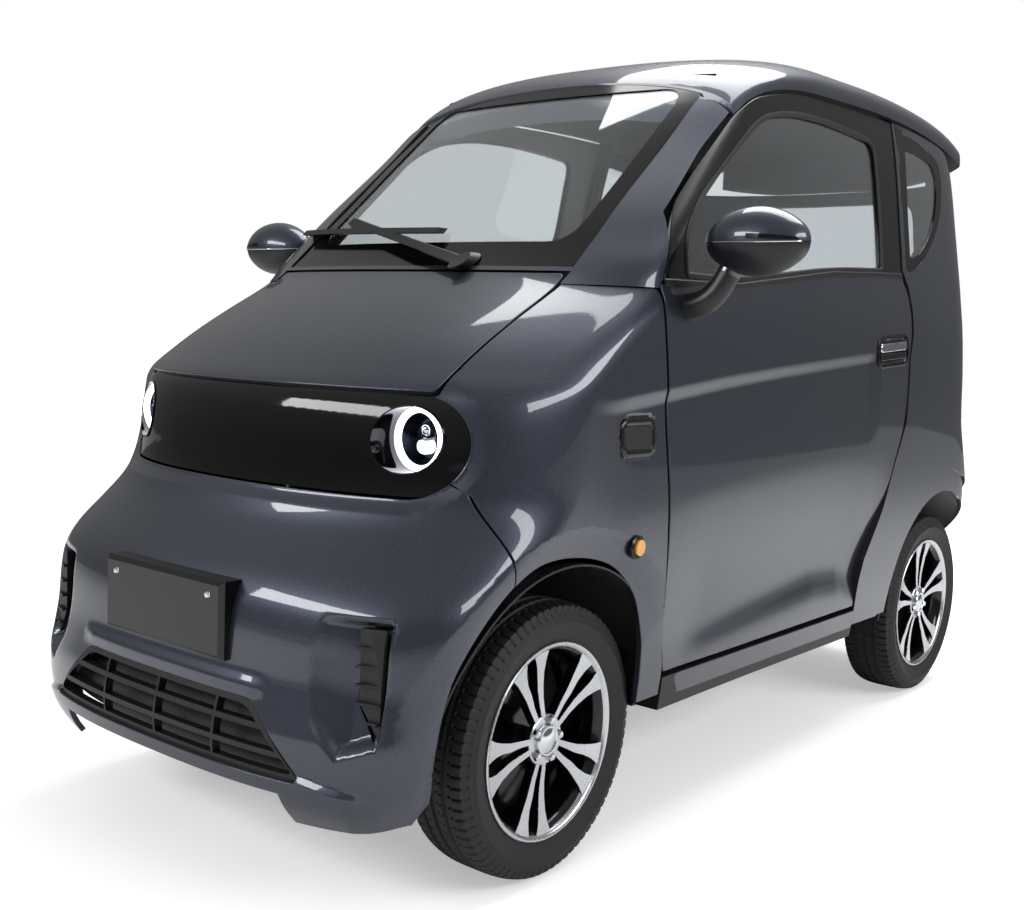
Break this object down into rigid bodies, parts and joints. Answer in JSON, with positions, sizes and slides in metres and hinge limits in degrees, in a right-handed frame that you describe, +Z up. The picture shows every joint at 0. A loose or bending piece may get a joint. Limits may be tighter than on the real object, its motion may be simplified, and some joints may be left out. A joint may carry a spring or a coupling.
{
  "type": "microcar",
  "caption": "Small two-seat electric city car with hollow cabin, steered front wheels, opening doors, hood and tailgate.",
  "frame": {"origin": "on the floor under the middle of the bounding box", "axes": "+Z up, -Y towards the front of the car, +X towards its own left side"},
  "size_m": [1.544, 2.5622, 1.645],
  "materials": {
    "body_paint": "gloss metallic dark grey",
    "drive_metal": "cast, plain",
    "frame_steel": "satin black",
    "glass": "tinted, clear",
    "black_plastic": "fine grain",
    "seat_fabric": "dark woven",
    "gloss_black": "polished",
    "lamp_clear": "clear lens",
    "lamp_red": "clear red",
    "lamp_amber": "clear amber",
    "tyre": "matt",
    "alloy": "machined face"
  },
  "bodies": {
    "car_body": {"chassis_frame": "frame_steel", "drive_blocks": "drive_metal", "dashboard": "black_plastic", "fender_left": "body_paint", "fender_right": "body_paint", "floor_pan": "black_plastic", "front_bumper": "body_paint", "front_suspension": "frame_steel", "headlamps": "lamp_clear", "lamp_band": "gloss_black", "lower_grille": "black_plastic", "plate_holder": "black_plastic", "quarter_glass": "glass", "rear_axle": "frame_steel", "rear_bumper": "body_paint", "roof": "body_paint", "seats": "seat_fabric", "side_markers": "lamp_amber", "side_panel_left": "body_paint", "side_panel_right": "body_paint", "tail_lamps": "lamp_red", "wheel_liners": "black_plastic", "windscreen": "glass", "windscreen_frame": "body_paint", "wiper": "black_plastic"},
    "knuckle_left": {"knuckle_left": "frame_steel"},
    "knuckle_right": {"knuckle_right": "frame_steel"},
    "wheel_front_left": {"rim_front_left": "alloy", "tyre_front_left": "tyre"},
    "wheel_front_right": {"rim_front_right": "alloy", "tyre_front_right": "tyre"},
    "wheel_rear_left": {"rim_rear_left": "alloy", "tyre_rear_left": "tyre"},
    "wheel_rear_right": {"rim_rear_right": "alloy", "tyre_rear_right": "tyre"},
    "door_left": {"door_left": "body_paint", "door_glass_left": "glass", "mirror_left": "body_paint"},
    "door_right": {"door_right": "body_paint", "door_glass_right": "glass", "mirror_right": "body_paint"},
    "tailgate": {"tailgate": "body_paint", "tailgate_glass": "glass"},
    "hood": {"hood": "body_paint"},
    "steering_wheel": {"steering_wheel": "black_plastic"}
  },
  "joints": [
    {"name": "steer_left", "type": "hinge", "parent": "car_body", "child": "knuckle_left", "pos_m": [0.372, -0.8, 0.25], "axis": [0, 0, 1], "range_deg": [-28, 28]},
    {"name": "steer_right", "type": "hinge", "parent": "car_body", "child": "knuckle_right", "pos_m": [-0.372, -0.8, 0.25], "axis": [0, 0, 1], "range_deg": [-28, 28]},
    {"name": "spin_front_left", "type": "hinge", "parent": "knuckle_left", "child": "wheel_front_left", "pos_m": [0.452, -0.8, 0.25], "axis": [1, 0, 0], "continuous": true},
    {"name": "spin_front_right", "type": "hinge", "parent": "knuckle_right", "child": "wheel_front_right", "pos_m": [-0.452, -0.8, 0.25], "axis": [1, 0, 0], "continuous": true},
    {"name": "spin_rear_left", "type": "hinge", "parent": "car_body", "child": "wheel_rear_left", "pos_m": [0.452, 0.93, 0.25], "axis": [1, 0, 0], "continuous": true},
    {"name": "spin_rear_right", "type": "hinge", "parent": "car_body", "child": "wheel_rear_right", "pos_m": [-0.452, 0.93, 0.25], "axis": [1, 0, 0], "continuous": true},
    {"name": "door_left_hinge", "type": "hinge", "parent": "car_body", "child": "door_left", "pos_m": [0.563, -0.506, 0.7], "axis": [0, 0, -1], "range_deg": [0, 62]},
    {"name": "door_right_hinge", "type": "hinge", "parent": "car_body", "child": "door_right", "pos_m": [-0.563, -0.506, 0.7], "axis": [0, 0, 1], "range_deg": [0, 62]},
    {"name": "tailgate_hinge", "type": "hinge", "parent": "car_body", "child": "tailgate", "pos_m": [0, 1.24, 1.44], "axis": [1, 0, 0], "range_deg": [0, 75]},
    {"name": "hood_hinge", "type": "hinge", "parent": "car_body", "child": "hood", "pos_m": [0, -0.73, 1.068], "axis": [-1, 0, 0], "range_deg": [0, 50]},
    {"name": "steering_wheel_turn", "type": "hinge", "parent": "car_body", "child": "steering_wheel", "pos_m": [0.235, -0.3, 0.985], "axis": [0, 0.866, 0.5], "range_deg": [-336, 336]}
  ],
  "couplings": [
    {"joint": "steer_right", "follows": "steer_left", "ratio": 1},
    {"joint": "steering_wheel_turn", "follows": "steer_left", "ratio": 12}
  ]
}
